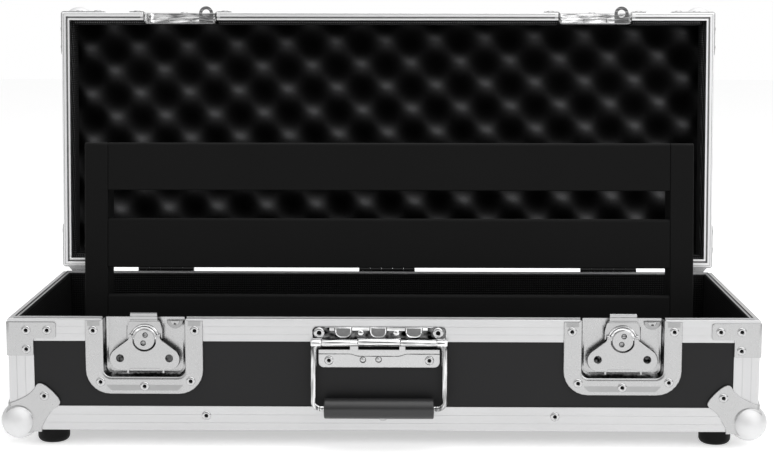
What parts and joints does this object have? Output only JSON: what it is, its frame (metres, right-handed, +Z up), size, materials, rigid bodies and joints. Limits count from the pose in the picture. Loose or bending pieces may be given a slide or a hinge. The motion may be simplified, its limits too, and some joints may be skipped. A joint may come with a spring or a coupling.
{
  "type": "guitar pedal flight case",
  "caption": "Hinged flight case with aluminium edges, ball corners, butterfly latches, bail handle, foam lining and a slatted pedal board inside.",
  "frame": {"origin": "centre of the underside of the open case: on the floor, midway between its ends and midway between the handle in front and the lid behind", "axes": "+X along the case to the right as seen from the handle side, +Y from the handle side to the hinge side, +Z up"},
  "size_m": [0.7168, 0.394, 0.4051],
  "materials": {
    "aluminium_profile": "brushed anodised extrusion",
    "laminate": "plywood with a black textured laminate face",
    "foam_sheet": "black soft foam sheet, fine diamond texture",
    "egg_crate_foam": "dark grey convoluted foam",
    "rubber": "matte black rubber",
    "board_black": "matte black painted",
    "plated_steel": "bright zinc plate",
    "bright_steel": "nickel plate"
  },
  "bodies": {
    "base": {"base_ball_corners": "plated_steel", "base_corner_angles": "aluminium_profile", "base_corner_braces": "plated_steel", "base_edge_angles": "aluminium_profile", "base_floor": "laminate", "base_panel_back": "laminate", "base_panel_front": "laminate", "base_panel_left": "laminate", "base_panel_right": "laminate", "base_rim_back": "aluminium_profile", "base_rim_front_left": "aluminium_profile", "base_rim_front_middle": "aluminium_profile", "base_rim_front_right": "aluminium_profile", "base_rim_left": "aluminium_profile", "base_rim_right": "aluminium_profile", "base_rivets": "plated_steel", "floor_mat": "foam_sheet", "foot_screws": "plated_steel", "handle_lower_plate": "bright_steel", "handle_upper_plate": "bright_steel", "hinge_base_leaves": "plated_steel", "hinge_pins": "plated_steel", "latch_dish_left": "bright_steel", "latch_dish_right": "bright_steel", "rubber_feet": "rubber", "wall_lining": "foam_sheet"},
    "lid": {"hinge_lid_leaves": "plated_steel", "lid_ball_corners": "plated_steel", "lid_corner_angles": "aluminium_profile", "lid_corner_braces": "plated_steel", "lid_edge_angles": "aluminium_profile", "lid_foam": "egg_crate_foam", "lid_latch_dish_left": "bright_steel", "lid_latch_dish_right": "bright_steel", "lid_liner": "foam_sheet", "lid_panel_back": "laminate", "lid_panel_front": "laminate", "lid_panel_left": "laminate", "lid_panel_right": "laminate", "lid_panel_top": "laminate", "lid_rim_back": "aluminium_profile", "lid_rim_front_left": "aluminium_profile", "lid_rim_front_middle": "aluminium_profile", "lid_rim_front_right": "aluminium_profile", "lid_rim_left": "aluminium_profile", "lid_rim_right": "aluminium_profile", "lid_rivets": "plated_steel"},
    "boss_left": {"latch_rotor_left": "bright_steel"},
    "wing_left": {"latch_wing_left": "bright_steel"},
    "hook_left": {"latch_hook_left": "bright_steel"},
    "boss_right": {"latch_rotor_right": "bright_steel"},
    "wing_right": {"latch_wing_right": "bright_steel"},
    "hook_right": {"latch_hook_right": "bright_steel"},
    "handle": {"handle_bail": "bright_steel", "handle_grip": "rubber"},
    "board_foot": {"board_foot_rollers": "rubber"},
    "board": {"board_slats": "board_black", "board_side_rails": "board_black"}
  },
  "joints": [
    {"name": "lid_hinge", "type": "hinge", "parent": "base", "child": "lid", "pos_m": [0, 0.09913, 0.1229], "axis": [1, 0, 0], "range_deg": [0, 94.5]},
    {"name": "latch_twist_left", "type": "hinge", "parent": "base", "child": "boss_left", "pos_m": [-0.222, -0.17737, 0.1023], "axis": [0, 1, 0], "range_deg": [0, 180]},
    {"name": "wing_fold_left", "type": "hinge", "parent": "boss_left", "child": "wing_left", "pos_m": [-0.222, -0.17582, 0.1053], "axis": [-1, 0, 0], "range_deg": [0, 90]},
    {"name": "hook_draw_left", "type": "slide", "parent": "base", "child": "hook_left", "axis": [0, 0.8758, -0.4826], "range_m": [0, 0.0056]},
    {"name": "latch_twist_right", "type": "hinge", "parent": "base", "child": "boss_right", "pos_m": [0.222, -0.17737, 0.1023], "axis": [0, 1, 0], "range_deg": [0, 180]},
    {"name": "wing_fold_right", "type": "hinge", "parent": "boss_right", "child": "wing_right", "pos_m": [0.222, -0.17582, 0.1053], "axis": [-1, 0, 0], "range_deg": [0, 90]},
    {"name": "hook_draw_right", "type": "slide", "parent": "base", "child": "hook_right", "axis": [0, 0.8758, -0.4826], "range_m": [0, 0.0056]},
    {"name": "handle_swing", "type": "hinge", "parent": "base", "child": "handle", "pos_m": [-0.0037, -0.18297, 0.1005], "axis": [-1, 0, 0], "range_deg": [0, 100]},
    {"name": "board_slide", "type": "slide", "parent": "base", "child": "board_foot", "axis": [0, -1, 0], "range_m": [0, 0.08921]},
    {"name": "board_tilt", "type": "hinge", "parent": "board_foot", "child": "board", "pos_m": [0, -0.06937, 0.04332], "axis": [-1, 0, 0], "range_deg": [0, 83.01]}
  ],
  "couplings": [
    {"joint": "wing_fold_left", "follows": "latch_twist_left", "ratio": 0.5},
    {"joint": "hook_draw_left", "follows": "latch_twist_left", "m_per_rad": 0.0017808},
    {"joint": "wing_fold_right", "follows": "latch_twist_right", "ratio": 0.5},
    {"joint": "hook_draw_right", "follows": "latch_twist_right", "m_per_rad": 0.0017808},
    {"joint": "board_slide", "follows": "lid_hinge", "m_per_rad": 0.054082},
    {"joint": "board_tilt", "follows": "lid_hinge", "ratio": 0.87831}
  ]
}
